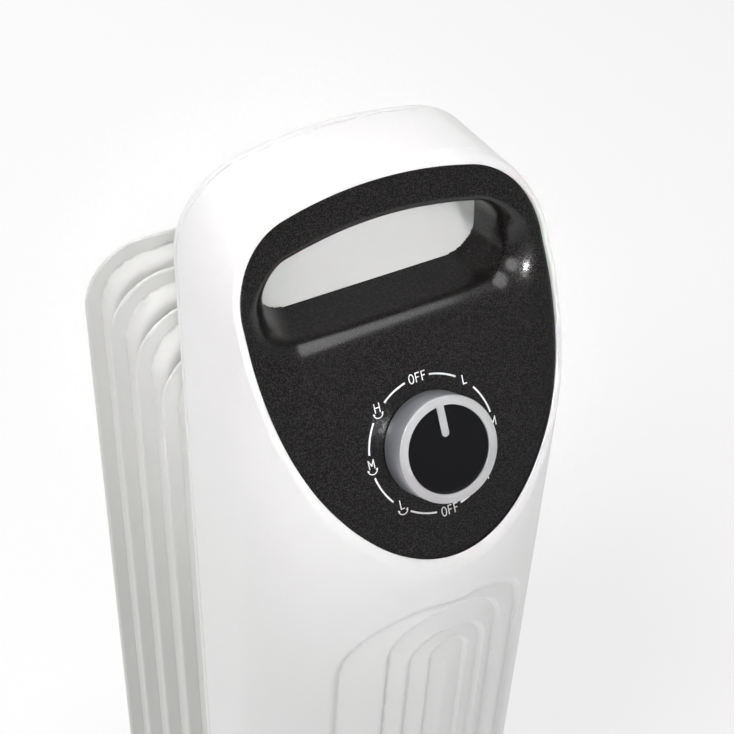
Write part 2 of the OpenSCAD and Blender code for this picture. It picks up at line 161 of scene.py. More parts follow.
def plan(x, y, z):
    """Distance outside the tower's leaning plan."""
    depth = y * math.cos(LEAN) + (z - NOSE_Z) * math.sin(LEAN)
    ax = np.abs(x)
    nose = np.hypot(ax, depth - NOSE_R) - NOSE_R
    shoulder = np.hypot(ax - SHOULDER_X, depth - SHOULDER_Y) - SHOULDER_R
    on_nose = ax * (NOSE_R - SHOULDER_Y) < SHOULDER_X * (NOSE_R - depth)
    return np.where(depth >= SHOULDER_Y, ax - HALF_W, np.where(on_nose, nose, shoulder))


def arch(x, z, half_w, top, radius, corner):
    """Distance outside an arch: straight legs, two corner arcs and a crown arc."""
    corner_x = half_w - corner
    crown_z = top - radius
    corner_z = crown_z + math.sqrt((radius - corner) ** 2 - corner_x**2)
    ax = np.abs(x)
    on_crown = ax * (corner_z - crown_z) < corner_x * (z - crown_z)
    crown = np.hypot(ax, z - crown_z) - radius
    bend = np.hypot(ax - corner_x, z - corner_z) - corner
    return np.where(z <= corner_z, ax - half_w, np.where(on_crown, crown, bend))


def above_panel(y, z):
    """Height above the panel's face."""
    return (y - DIAL_Y) * NORMAL[1] + (z - DIAL_Z) * NORMAL[2]


# The relief low on the front: nested arches, each half width and the height of its arc's centre.
# Each one is a step down, so deep and so wide, that rises again to the next one's edge. The last
# rises to a line up the middle.
TERRACES = [(54.5, 393.0), (32.5, 407.0), (22.5, 401.5), (11.5, 403.0)]
TERRACE_DEPTHS = [4.4, 3.6, 3.4, 2.6]
TERRACE_EDGES = [4.6, 2.8, 3.2, 2.6]
MIDDLE_DROP = 6.0


def terrace_depth(x, z):
    """How far the nested arches sink into the tower's front."""
    ax = np.abs(x)
    outside = [np.hypot(ax, np.maximum(z - c, 0)) - r for r, c in TERRACES]
    outside.append(np.hypot(ax, np.maximum(z - TERRACES[-1][1] + MIDDLE_DROP, 0)))
    depth = np.zeros_like(ax)
    for k, (deep, width) in enumerate(zip(TERRACE_DEPTHS, TERRACE_EDGES)):
        entered = -outside[k]
        to_next = np.maximum(outside[k + 1], 0)
        share = np.clip(entered / np.maximum(entered + to_next, 1e-6), 0, 1)
        step = 1 - np.cos(math.pi / 2 * np.clip(entered / width, 0, 1))
        depth = depth + np.where(entered > 0, deep * step * (1 - share), 0)
    return depth


def crown_rounding(z):
    """Radius of the edge between the sides and the crown; it grows as the arch turns over."""
    rise = np.clip((z - CORNER_Z) / ARCH_CORNER, 0, 1)
    return CROWN_ROUND * (1 - np.sqrt(1 - rise**2))


def tower_form(x, y, z):
    """The tower's outer form, without its front cut off along the panel."""
    top = arch(x, z, HALF_W, TOWER_TOP, ARCH_R, ARCH_CORNER)
    return both(plan(x, y, z), top, crown_rounding(z))


def cavity(x, y, z, inset):
    """The inner form that clears the panel and the tower's works."""
    top = arch(
        x, z, HALF_W - inset, PANEL_TOP + WALL - inset, PANEL_R, PANEL_CORNER + WALL - inset
    )
    return both(plan(x, y, z) + inset, top, crown_rounding(z))


def rimmed(x, y, z):
    """The tower's outer form with its front cut off along the top of the rim."""
    return both(tower_form(x, y, z), above_panel(y, z) - RIM_H, RIM_ROUND)


def bead(x, y, z):
    """The rim's rounded bead, between the outer form and the panel's recess."""
    return both(rimmed(x, y, z), -cavity(x, y, z, WALL), RIM_INNER_ROUND)


def front_shell(x, y, z):
    """The front cover below its rim, with thicker walls behind the relief."""
    skin = tower_form(x, y, z) + terrace_depth(x, z)
    shell = np.maximum(skin, above_panel(y, z) + SHELL_DROP)
    backing = RELIEF_BACKING * np.clip((RELIEF_TOP - z) / RELIEF_BACKING, 0, 1)
    shell = np.maximum(shell, -cavity(x, y, z, WALL) - backing)
    shell = both(shell, y - SEAM_Y, SEAM_ROUND)
    return np.maximum(shell, BASE_Z - z)


VENT_ROWS, VENT_PITCH, VENT_X, VENT_HALF_W, VENT_HALF_H = 5, 9.0, 32.0, 22.0, 1.6
VENT_RISE, VENT_ROUND = 12.0, 0.7
VENT_Z = node_box("fin_1")[1][2] + VENT_RISE + VENT_HALF_H


def vents(x, z):
    """Distance outside the vent slots of the rear cover."""
    row = np.clip(np.round((z - VENT_Z) / VENT_PITCH), 0, VENT_ROWS - 1)
    up = z - (VENT_Z + row * VENT_PITCH)
    along = np.abs(np.abs(x) - VENT_X) - (VENT_HALF_W - VENT_HALF_H)
    return np.hypot(np.maximum(along, 0), up) - VENT_HALF_H


def back_shell(x, y, z):
    """The rear cover with its vents."""
    skin = both(tower_form(x, y, z), y - BACK_Y, REAR_ROUND)
    hollow = np.maximum(cavity(x, y, z, WALL), y - (BACK_Y - WALL))
    shell = np.maximum(skin, -hollow)
    shell = both(shell, -vents(x, z), VENT_ROUND)
    shell = both(shell, SEAM_Y + SEAM_GAP - y, SEAM_ROUND)
    return np.maximum(shell, cover_low[2] - z)


def hand_opening(x, y, z):
    """Distance outside the hand opening, which narrows from the panel to the pocket."""
    mouth_y = DIAL_Y + (GRIP_LOW - DIAL_Z) * NORMAL[2] / -NORMAL[1]
    back = np.clip((y - mouth_y) / (TUNNEL_Y - mouth_y), 0, 1)
    half_w = GRIP_FRONT_W + (GRIP_BACK_W - GRIP_FRONT_W) * back
    low, high = GRIP_LOW, GRIP_HIGH + GRIP_CORNER
    box = rounded_rect(x, z - (low + high) / 2, half_w, (high - low) / 2, GRIP_CORNER)
    crown = np.hypot(x, z - (GRIP_HIGH - GRIP_TOP_R)) - GRIP_TOP_R
    return both(box, crown, GRIP_TOP_ROUND)


def panel(x, y, z):
    """The panel's sheet, turned inward at the hand opening and rounded into the groove round it."""
    flare = smooth(np.clip((np.abs(x) - FLARE_START) / FLARE_RUN, 0, 1))
    down = smooth(np.clip(TOP_EASE * (GRIP_HIGH - z) / (GRIP_HIGH - GRIP_LOW), 0, 1))
    lip = LIP_TOP_R + (LIP_R + LIP_FLARE * flare - LIP_TOP_R) * down
    face = both(above_panel(y, z), -hand_opening(x, y, z), lip)
    face = both(face, cavity(x, y, z, WALL + GROOVE_W), GROOVE_ROUND)
    sheet = np.maximum(face, -PANEL_T - face)
    outline = cavity(x, y, z, WALL - PANEL_TUCK)
    return np.maximum(np.maximum(sheet, y - TUNNEL_Y), outline)


POCKET_WALL, POCKET_ROUND = 2.4, 3.0
SCOOP_R, SCOOP_ROUND = 38.0, 4.0
SCOOP_Z = DIAL_Z + 90.0
SCOOP_Y = BACK_Y - 10.0 - SCOOP_R


def pocket(x, y, z):
    """The closed finger pocket behind the hand opening, scooped like a trough."""
    opening = hand_opening(x, TUNNEL_Y + 0 * y, z)
    grow = pocket_high[0] - GRIP_BACK_W
    scoop = np.hypot(y - SCOOP_Y, z - SCOOP_Z) - SCOOP_R
    hollow = both(opening - grow + POCKET_WALL, scoop, SCOOP_ROUND)
    body = both(opening - grow, y - pocket_high[1], POCKET_ROUND)
    return np.maximum(np.maximum(body, -hollow), pocket_low[1] - y)


# ---------------------------------------------------------------- meshing a field
def planes(*spans):
    """Grid planes along one axis, from spans of (start, end, spacing)."""
    parts = [np.linspace(a, b, max(2, round((b - a) / s) + 1))[:-1] for a, b, s in spans]
    return np.concatenate([*parts, [spans[-1][1]]])


def slope(field, points, h=0.05):
    """Gradient of a field at points."""
    out = np.zeros_like(points)
    for k in range(3):
        ahead, behind = points.copy(), points.copy()
        ahead[:, k] += h
        behind[:, k] -= h
        out[:, k] = (field(*ahead.T) - field(*behind.T)) / (2 * h)
    return out


def skin_of(field, xs, ys, zs):
    """Vertices, quads and normals of the surface where a field is zero, one vertex per cell."""
    grid = field(*np.meshgrid(xs, ys, zs, indexing="ij"))
    grid = np.where(np.abs(grid) < 1e-9, 1e-9, grid)
    inside = grid < 0
    cells = tuple(n - 1 for n in grid.shape)
    corners = [(i, j, k) for i in (0, 1) for j in (0, 1) for k in (0, 1)]

    def shifted(a, i, j, k):
        return a[i : i + cells[0], j : j + cells[1], k : k + cells[2]]

    filled = sum(shifted(inside, *c).astype(np.int8) for c in corners)
    mixed = (filled > 0) & (filled < 8)
    index = np.full(cells, -1)
    index[mixed] = np.arange(mixed.sum())
    where = np.argwhere(mixed)
    axes = (xs, ys, zs)
    total, count = np.zeros((len(where), 3)), np.zeros(len(where))
    for c in corners:
        for axis in range(3):
            if c[axis]:
                continue
            d = list(c)
            d[axis] = 1
            a = where + c
            b = where + d
            va, vb = grid[tuple(a.T)], grid[tuple(b.T)]
            crossed = (va < 0) != (vb < 0)
            t = np.where(crossed, va / np.where(crossed, va - vb, 1), 0)
            for k in range(3):
                pa, pb = axes[k][a[:, k]], axes[k][b[:, k]]
                total[:, k] += np.where(crossed, pa + t * (pb - pa), 0)
            count += crossed
    points = total / count[:, None]
    start = points.copy()
    for _ in range(4):
        g = slope(field, points)
        size = np.maximum((g**2).sum(1), 0.05)
        move = -g * (field(*points.T) / size)[:, None]
        points = points + np.clip(move, -0.8, 0.8)
    cell = np.array([[axes[k][w[k] + 1] - axes[k][w[k]] for k in range(3)] for w in where])
    points = start + np.clip(points - start, -cell, cell)

    faces = []
    for axis in range(3):
        u, v = (axis + 1) % 3, (axis + 2) % 3
        low = [slice(None)] * 3
        high = [slice(None)] * 3
        low[axis], high[axis] = slice(0, -1), slice(1, None)
        first, second = inside[tuple(low)], inside[tuple(high)]
        for sign, change in ((1, first & ~second), (-1, ~first & second)):
            at = np.argwhere(change)
            at = at[(at[:, u] > 0) & (at[:, v] > 0) & (at[:, u] < cells[u]) & (at[:, v] < cells[v])]
            ring = []
            for du, dv in ((-1, -1), (0, -1), (0, 0), (-1, 0)):
                cell_at = at.copy()
                cell_at[:, u] += du
                cell_at[:, v] += dv
                ring.append(index[tuple(cell_at.T)])
            faces.append(np.stack(ring[:: sign], 1))
    return points, np.concatenate(faces), slope(field, points)


def mesh_from(name, points, faces, normals=None):
    """A new object from points in millimetres from the nose."""
    mesh = bpy.data.meshes.new(name)
    mesh.from_pydata(to_object(points).tolist(), [], [list(map(int, f)) for f in faces])
    mesh.validate()
    mesh.polygons.foreach_set("use_smooth", [True] * len(mesh.polygons))
    if normals is not None:
        length = np.maximum(np.linalg.norm(normals, axis=1, keepdims=True), 1e-9)
        mesh.normals_split_custom_set_from_vertices((normals / length).tolist())
    mesh.update()
    thing = bpy.data.objects.new(name, mesh)
    bpy.context.scene.collection.objects.link(thing)
    return thing


def closed_solid(name, points, faces, smooth_shaded=True):
    """A new object with its faces turned outward."""
    piece = mesh_from(name, points, faces)
    work = bmesh.new()
    work.from_mesh(piece.data)
    bmesh.ops.recalc_face_normals(work, faces=work.faces)
    work.to_mesh(piece.data)
    work.free()
    piece.data.polygons.foreach_set("use_smooth", [smooth_shaded] * len(piece.data.polygons))
    return piece


def moulded(name, field, xs, ys, zs):
    """A new object from the skin of a field."""
    return mesh_from(name, *skin_of(field, xs, ys, zs))


def cast(field, start, direction, reach):
    """Where rays that start inside a field leave it, by halving."""
    near, far = np.zeros(len(start)), np.full(len(start), float(reach))
    for _ in range(30):
        mid = (near + far) / 2
        outside = field(*(start + mid[:, None] * direction).T) > 0
        near, far = np.where(outside, near, mid), np.where(outside, mid, far)
    return start + ((near + far) / 2)[:, None] * direction


def ring_mesh(name, rows, normals=None):
    """A ring-shaped solid from rows of points, each row once round the ring."""
    count = len(rows[0])
    points = np.concatenate(rows)
    faces = []
    for r in range(len(rows)):
        a, b = r * count, (r + 1) % len(rows) * count
        for k in range(count):
            n = (k + 1) % count
            faces.append((a + k, b + k, b + n, a + n))
    return mesh_from(name, points, faces, normals)


# ---------------------------------------------------------------- materials
def new_material(name, color, roughness, metallic=0.0, **extra):
    """A node material with its principled shader; extra names are shader sockets."""
    material = bpy.data.materials.new(name)
    material.use_nodes = True
    shader = material.node_tree.nodes["Principled BSDF"]
    shader.inputs["Base Color"].default_value = (*color, 1)
    shader.inputs["Roughness"].default_value = roughness
    shader.inputs["Metallic"].default_value = metallic
    for socket, value in extra.items():
        shader.inputs[socket.replace("_", " ")].default_value = value
    return material, shader


def add_node(material, kind, **inputs):
    node = material.node_tree.nodes.new(kind)
    for socket, value in inputs.items():
        node.inputs[socket.replace("_", " ")].default_value = value
    return node


def wire(material, source, target):
    material.node_tree.links.new(source, target)


def object_place(material):
    """Object coordinates in metres, the same on every piece."""
    return add_node(material, "ShaderNodeTexCoord").outputs["Object"]


def noise(material, scale, detail=2.0, roughness=0.5):
    node = add_node(
        material, "ShaderNodeTexNoise", Scale=scale, Detail=detail, Roughness=roughness
    )
    wire(material, object_place(material), node.inputs["Vector"])
    return node.outputs["Fac"]


def ramp(material, factor, low, high, start=0.3, end=0.7):
    """Colours from low to high as factor goes from start to end."""
    node = add_node(material, "ShaderNodeValToRGB")
    node.color_ramp.elements[0].position = start
    node.color_ramp.elements[1].position = end
    node.color_ramp.elements[0].color = (*low, 1)
    node.color_ramp.elements[1].color = (*high, 1)
    wire(material, factor, node.inputs["Fac"])
    return node.outputs["Color"]


def remap(material, factor, low, high):
    node = add_node(material, "ShaderNodeMapRange", To_Min=low, To_Max=high)
    wire(material, factor, node.inputs["Value"])
    return node.outputs["Result"]


def bump(material, shader, height, strength, distance):
    node = add_node(material, "ShaderNodeBump", Strength=strength, Distance=distance)
    wire(material, height, node.inputs["Height"])
    wire(material, node.outputs["Normal"], shader.inputs["Normal"])


def shade(color, factor):
    return tuple(c * factor for c in color)


def grained(name, color, roughness, grain, depth, spread=0.05, metallic=0.0, **extra):
    """A moulded or coated finish: fine grain, slow colour drift and uneven gloss."""
    material, shader = new_material(name, color, roughness, metallic, **extra)
    drift = noise(material, 14.0, 3.0)
    wire(
        material,
        ramp(material, drift, shade(color, 1 - spread), shade(color, 1 + spread)),
        shader.inputs["Base Color"],
    )
    wire(
        material,
        remap(material, noise(material, 90.0, 3.0), roughness - 0.05, roughness + 0.05),
        shader.inputs["Roughness"],
    )
    bump(material, shader, noise(material, grain, 2.0), 0.25, depth)
    return material


def flake_paint(name):
    """Anthracite lacquer with fine metallic fleck under a satin clear coat."""
    material, shader = new_material(
        name, (0.015, 0.0135, 0.0135), 0.34, 0.35, Coat_Weight=0.9, Coat_Roughness=0.18,
        Specular_IOR_Level=0.15,
    )
    cells = add_node(material, "ShaderNodeTexVoronoi", Scale=2600.0)
    wire(material, object_place(material), cells.inputs["Vector"])
    pick = add_node(material, "ShaderNodeSeparateColor")
    wire(material, cells.outputs["Color"], pick.inputs["Color"])
    fleck = ramp(
        material, pick.outputs["Red"], (0.0035, 0.003, 0.003), (0.03, 0.027, 0.026), 0.5, 1.0
    )
    wire(material, fleck, shader.inputs["Base Color"])
    bump(material, shader, pick.outputs["Green"], 0.25, 0.00003)
    return material


def metal(name, color, roughness):
    """A plated metal with fine mottling in its colour and gloss."""
    material, shader = new_material(name, color, roughness, 1.0)
    fac = noise(material, 420.0, 3.0)
    wire(material, remap(material, fac, roughness - 0.1, roughness + 0.1),
         shader.inputs["Roughness"])
    wire(material, ramp(material, fac, shade(color, 0.88), shade(color, 1.08)),
         shader.inputs["Base Color"])
    bump(material, shader, fac, 0.12, 0.00005)
    return material


MATERIALS = {
    "housing_white": grained("satin_white_abs", (0.85, 0.85, 0.845), 0.36, 1500.0, 0.00003, 0.012),
    "panel_anthracite": flake_paint("anthracite_fleck"),
    "knob_silver": grained("silver_paint", (0.36, 0.365, 0.385), 0.36, 2600.0, 0.00002, 0.03, 0.75),
    "insert_black": grained(
        "gloss_black", (0.005, 0.005, 0.006), 0.09, 300.0, 0.00001, 0.1, Specular_IOR_Level=0.25
    ),
    "enamel_white": grained("white_powder_coat", (0.80, 0.80, 0.785), 0.4, 700.0, 0.00008, 0.015),
    "zinc_steel": metal("zinc_plate", (0.6, 0.61, 0.63), 0.32),
    "electrical_ivory": grained("ivory_plastic", (0.74, 0.70, 0.58), 0.5, 900.0, 0.00003),
    "black_plastic": grained("black_nylon", (0.02, 0.02, 0.02), 0.5, 900.0, 0.00005, 0.15),
    "castor_grey": grained("castor_nylon", (0.045, 0.045, 0.05), 0.45, 900.0, 0.00005, 0.12),
    "castor_black": grained("wheel_plastic", (0.02, 0.02, 0.022), 0.55, 700.0, 0.0001, 0.15),
    "gasket_red": grained("silicone", (0.35, 0.08, 0.05), 0.6, 500.0, 0.00005),
}
print_white = grained("dial_print", (0.86, 0.86, 0.86), 0.55, 1500.0, 0.00002, 0.02)
ring_silver = grained("bright_silver", (0.53, 0.53, 0.535), 0.36, 2600.0, 0.00002, 0.03, 0.35)

slot_of = {row["node"]: row["material_slot"] for row in frame["record"]["subparts"]}
for node_name, node in NODES.items():
    node.data.materials.clear()
    node.data.materials.append(MATERIALS[slot_of[node_name]])


def place(piece, body, slot, *replaced, material=None):
    """Gives a piece the finish of its slot, or the material given, puts it on its body and hides the CAD nodes
    that it stands for.
    """
    piece.data.materials.append(material or MATERIALS[slot])
    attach(piece, body)
    if replaced:
        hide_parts(*replaced)
    return piece


# ---------------------------------------------------------------- the tower's mouldings
FINE, COARSE = 1.5, 6.0
across = planes((-HALF_W - 2, -58, FINE), (-58, 58, 1.15), (58, HALF_W + 2, FINE))
shell = moulded(
    "tower_shell",
    front_shell,
    across,
    planes((-4, 78, FINE), (78, 120, 3.5), (120, SEAM_Y + 1, 1.0)),
    planes((BASE_Z - 1, 345, COARSE), (345, 455, 1.1), (455, TOWER_TOP + 2, 2.0)),
)
place(shell, "heater", "housing_white", "front_cover")

back = moulded(
    "rear_shell",
    back_shell,
    planes((-HALF_W - 2, -70, 1.0), (-70, 70, 2.0), (70, HALF_W + 2, 1.0)),
    planes((SEAM_Y - 1, BACK_Y + 1, 0.9)),
    planes((cover_low[2] - 1, 498, COARSE), (498, 545, 0.8), (545, TOWER_TOP + 2, 1.6)),
)
place(back, "heater", "housing_white", "rear_cover")

panel_low = node_box("control_panel")[0]
panel_piece = moulded(
    "panel_moulding",
    panel,
    planes((-HALF_W, HALF_W, 1.25)),
    planes((panel_low[1] - 4, TUNNEL_Y + 1, 1.25)),
    planes((panel_low[2] - 4, PANEL_TOP + 2, 1.25)),
)
place(panel_piece, "heater", "panel_anthracite", "control_panel")

pocket_piece = moulded(
    "pocket_liner",
    pocket,
    planes((pocket_low[0] - 2, pocket_high[0] + 2, 1.6)),
    planes((pocket_low[1] - 1, pocket_high[1] + 1, 1.5)),
    planes((pocket_low[2] - 2, pocket_high[2] + 2, 1.5)),
)
place(pocket_piece, "heater", "housing_white", "handle_pocket")


# The rim round the panel is swept along the recess's outline, and so is a black strip at the
# bottom of the groove between the two: painted shade that stands for the groove's shadow.
OUTLINE_STEPS = 720
OUTLINE_MID_V = 28.0


def panel_outline():
    """Points round the recess at the panel's face, evenly spaced, and their outward normals."""
    turns = np.linspace(0, 2 * math.pi, 4 * OUTLINE_STEPS, endpoint=False)
    rays = np.sin(turns)[:, None] * np.array([1.0, 0, 0]) + np.cos(turns)[:, None] * UPSLOPE
    centre = np.tile(DIAL + OUTLINE_MID_V * UPSLOPE, (len(turns), 1))
    loop = cast(lambda x, y, z: cavity(x, y, z, WALL), centre, rays, 200)
    gaps = np.linalg.norm(np.roll(loop, -1, 0) - loop, axis=1)
    run = np.concatenate([[0], np.cumsum(gaps)])
    wanted = np.linspace(0, run[-1], OUTLINE_STEPS, endpoint=False)
    closed = np.vstack([loop, loop[:1]])
    points = np.stack([np.interp(wanted, run, closed[:, k]) for k in range(3)], 1)
    along = np.roll(points, -1, 0) - np.roll(points, 1, 0)
    outward = np.cross(NORMAL, along)
    outward /= np.linalg.norm(outward, axis=1, keepdims=True)
    if ((points - centre[0]) * outward).sum() < 0:
        outward = -outward
    return points, outward


edge, outward = panel_outline()


def recess(x, y, z):
    return cavity(x, y, z, WALL)


# Rows of the rim: up the tower's outside, over the bead and down the recess's wall. The first
# rows dip under the shell, so that the rim grows out of it without a step.
BEAD_PROUD, BEAD_REACH = 0.05, 60
OUTER_ROWS = ((-12, -0.2), (-10, -0.05), (-8, 0.03), (-6, 0.05), (-4, 0.05), (-2.5, 0.05))
INNER_ROWS = (-0.8, -1.6, -3.0)
PIVOT_OUT, PIVOT_DROP = 1.4, 0.4
bead_rows, bead_normals = [], []
for depth, proud in OUTER_ROWS:
    row = cast(rimmed, edge + depth * NORMAL, outward, BEAD_REACH)
    facing = slope(rimmed, row)
    bead_rows.append(row + proud * facing)
    bead_normals.append(facing)
pivot = edge + PIVOT_OUT * outward - PIVOT_DROP * NORMAL
for turn in np.radians(np.linspace(-10, 175, 44)):
    row = cast(bead, pivot, math.cos(turn) * outward + math.sin(turn) * NORMAL, BEAD_REACH)
    facing = slope(bead, row)
    bead_rows.append(row + BEAD_PROUD * facing)
    bead_normals.append(facing)
for depth in INNER_ROWS:
    row = cast(recess, edge - 3 * outward + depth * NORMAL, outward, 30)
    bead_rows.append(row)
    bead_normals.append(-slope(recess, row))
for row in bead_rows:
    row[:, 2] = np.minimum(row[:, 2], TOWER_TOP)
rim = ring_mesh("panel_rim", bead_rows, np.concatenate(bead_normals))
place(rim, "heater", "housing_white")

# The black strip low in the groove is painted shade: it darkens the groove where its own shadow falls.
STRIP_IN, STRIP_OUT, STRIP_TOP, STRIP_LOW = -1.3, 0.3, -0.8, -1.2
groove_shade_rows = [
    edge + out * outward + up * NORMAL
    for out, up in ((STRIP_OUT, STRIP_TOP), (STRIP_IN, STRIP_TOP), (STRIP_IN, STRIP_LOW),
                    (STRIP_OUT, STRIP_LOW))
]
groove_shade_strip = ring_mesh("panel_groove_painted_shade", groove_shade_rows)
place(groove_shade_strip, "heater", "black_plastic")


# ---------------------------------------------------------------- on the panel's face
def on_dial(u, v, h):
    """A point u across, v up the slope and h above the panel, from the dial's centre."""
    return DIAL + np.array([u, 0.0, 0.0]) + v * UPSLOPE + h * NORMAL


def lathe(name, profile, segments=160):
    """A solid turned about the dial's axis, from (radius, height) points; closed at radius 0."""
    points, faces, rows = [], [], []
    for radius, height in profile:
        if radius == 0:
            rows.append([len(points)] * segments)
            points.append(on_dial(0, 0, height))
            continue
        rows.append(list(range(len(points), len(points) + segments)))
        for k in range(segments):
            turn = 2 * math.pi * k / segments
            points.append(on_dial(radius * math.cos(turn), radius * math.sin(turn), height))
    for a, b in zip(rows, rows[1:]):
        for k in range(segments):
            n = (k + 1) % segments
            ring = list(dict.fromkeys((a[k], a[n], b[n], b[k])))
            if len(ring) > 2:
                faces.append(ring)
    return closed_solid(name, np.array(points), faces)


def arc_points(cu, cv, radius, start, end, steps=6):
    """Points of a profile arc, angles in degrees."""
    turns = np.radians(np.linspace(start, end, steps + 1))
    return [(cu + radius * math.cos(t), cv + radius * math.sin(t)) for t in turns]


KNOB_H = 16.0
KNOB_LOW = 0.6
KNOB_BASE_R, KNOB_TOP_R = 25.0, 24.9
INSERT_R = 20.5
INSERT_TOP = KNOB_H - 0.5
knob = lathe(
    "knob_body",
    [(0, KNOB_LOW), (KNOB_BASE_R - 0.5, KNOB_LOW)]
    + arc_points(KNOB_BASE_R - 0.5, KNOB_LOW + 0.5, 0.5, -90, 0)
    + [(KNOB_TOP_R, KNOB_H - 0.75), (KNOB_TOP_R - 0.3, KNOB_H - 0.6),
       (KNOB_TOP_R - 1.2, KNOB_H - 0.7), (KNOB_TOP_R - 1.3, KNOB_H - 1.2), (0, KNOB_H - 1.2)],
)
place(knob, "knob", "knob_silver", "control_knob")
ring = lathe(
    "knob_ring",
    [(KNOB_TOP_R - 1.1, KNOB_H - 1.4), (KNOB_TOP_R - 0.25, KNOB_H - 0.62)]
    + arc_points(KNOB_TOP_R - 0.5, KNOB_H - 0.42, 0.42, -20, 90)
    + [(INSERT_R + 0.35, KNOB_H)]
    + arc_points(INSERT_R + 0.35, KNOB_H - 0.3, 0.3, 90, 180)
    + [(INSERT_R + 0.05, KNOB_H - 1.4), (KNOB_TOP_R - 1.1, KNOB_H - 1.4)],
)
place(ring, "knob", "knob_silver", material=ring_silver)
insert = lathe(
    "knob_gloss",
    [(0, KNOB_H - 3), (INSERT_R - 0.05, KNOB_H - 3)]
    + arc_points(INSERT_R - 0.35, INSERT_TOP - 0.3, 0.3, 0, 80)
    + [(INSERT_R * k / 8, INSERT_TOP + 0.12 * (1 - (k / 8) ** 2)) for k in range(7, 0, -1)]
    + [(0, INSERT_TOP + 0.12)],
)
place(insert, "knob", "insert_black", "knob_insert")

POINTER_W, POINTER_END = 3.6, 6.2


def rounded_bar(name, width, v_low, v_high, low, high):
    """A bar up the slope with a round lower end and a softened top edge."""
    half = width / 2
    outline = [(half, v_high), (-half, v_high)]
    outline += [
        (half * math.cos(t), v_low + half + half * math.sin(t))
        for t in np.linspace(math.pi, 2 * math.pi, 17)
    ]
    soft = 0.25
    levels = [(1.0, low), (1.0, high - soft), (1 - 0.3 * soft / half, high - 0.3 * soft),
              (1 - soft / half, high)]
    mid = (v_low + v_high) / 2
    points, faces = [], []
    for scale, height in levels:
        for u, v in outline:
            shrink = (1 - scale) * half
            points.append(on_dial(u * scale, v + (shrink if v < mid else 0), height))
    n = len(outline)
    for row in range(len(levels) - 1):
        for k in range(n):
            a, b = row * n + k, row * n + (k + 1) % n
            faces.append([a, b, b + n, a + n])
    faces += [list(range(n))[::-1], list(range((len(levels) - 1) * n, len(levels) * n))]
    return closed_solid(name, np.array(points), faces, smooth_shaded=False)


pointer = rounded_bar(
    "knob_pointer", POINTER_W, POINTER_END, INSERT_R + 1.2, KNOB_H - 2.0, KNOB_H + 0.15
)
place(pointer, "knob", "knob_silver", material=ring_silver)

# The printed marks: thin strokes that stand a hair above the panel.
PRINT_LOW, PRINT_HIGH = -0.15, 0.06
MARK_R = 32.3
LETTER_H = 4.4


def stroke(path, width):
    """One printed stroke along a path of (u, v) points, as vertices and faces."""
    path = np.array(path, float)
    along = np.gradient(path, axis=0)
    along /= np.linalg.norm(along, axis=1, keepdims=True)
    side = np.stack([-along[:, 1], along[:, 0]], 1) * width / 2
    corners = [(path + side, PRINT_HIGH), (path - side, PRINT_HIGH), (path - side, PRINT_LOW),
               (path + side, PRINT_LOW)]
    points = [on_dial(u, v, h) for side_path, h in corners for u, v in side_path]
    n = len(path)
    faces = []
    for c in range(4):
        a, b = c * n, ((c + 1) % 4) * n
        faces += [[a + k, b + k, b + k + 1, a + k + 1] for k in range(n - 1)]
    faces += [[0, n, 2 * n, 3 * n][::-1], [n - 1, 2 * n - 1, 3 * n - 1, 4 * n - 1]]
    return points, faces


def circle_path(cu, cv, ru, rv, start, end, steps=24):
    """Points round an ellipse, in degrees clockwise from straight up."""
    turns = np.radians(np.linspace(start, end, steps + 1))
    return [(cu + ru * math.sin(t), cv + rv * math.cos(t)) for t in turns]


def line(*points, steps=2):
    """A straight run through points, split so that its ends stay square."""
    path = []
    for (u0, v0), (u1, v1) in zip(points, points[1:]):
        for k in range(steps):
            path.append((u0 + (u1 - u0) * k / steps, v0 + (v1 - v0) * k / steps))
    return path + [points[-1]]


# Each letter's strokes in units of its height, and its width.
LETTERS = {
    "O": (0.56, [circle_path(0.28, 0.5, 0.26, 0.48, 0, 360, 32)]),
    "F": (0.5, [line((0.06, 0), (0.06, 1)), line((0, 0.97), (0.5, 0.97)),
                line((0.06, 0.53), (0.42, 0.53))]),
    "L": (0.48, [line((0.06, 0), (0.06, 1)), line((0, 0.03), (0.48, 0.03))]),
    "M": (0.7, [line((0.05, 0), (0.05, 1)), line((0.65, 0), (0.65, 1)),
                line((0.05, 0.98), (0.35, 0.3)), line((0.65, 0.98), (0.35, 0.3))]),
    "H": (0.66, [line((0.05, 0), (0.05, 1)), line((0.61, 0), (0.61, 1)),
                 line((0.05, 0.52), (0.61, 0.52))]),
}
LETTER_GAP = 0.2
LETTER_STROKE = 0.5
ARC_STROKE = 0.85
SWING_R, SWING_DROP, SWING_STROKE, SWING_ENDS = 2.4, 0.2, 0.45, (105, 255)
SWING_TIP, SWING_TIP_STROKE = 0.55, 0.7

# Each label, its centre on the panel, and whether a swing mark hangs under it
LABELS = [
    ("OFF", (-0.6, 32.2), False), ("L", (22.3, 24.1), False), ("M", (32.3, 0.5), False),
    ("H", (22.8, -23.2), False), ("OFF", (1.4, -32.8), False), ("L", (-21.6, -22.4), True),
    ("M", (-31.9, 0.5), True), ("H", (-23.2, 24.7), True),
]
# Start and end of each printed arc between two labels, in degrees clockwise from straight up
ARCS = [(9.7, 34.5), (53.5, 81), (100, 126), (144, 166.5), (189.5, 214), (232, 259),
        (278.6, 305), (323.5, 347)]

marks_points, marks_faces = [], []


def add_stroke(path, width):
    points, faces = stroke(path, width)
    first = len(marks_points)
    marks_points.extend(points)
    marks_faces.extend([[first + k for k in f] for f in faces])


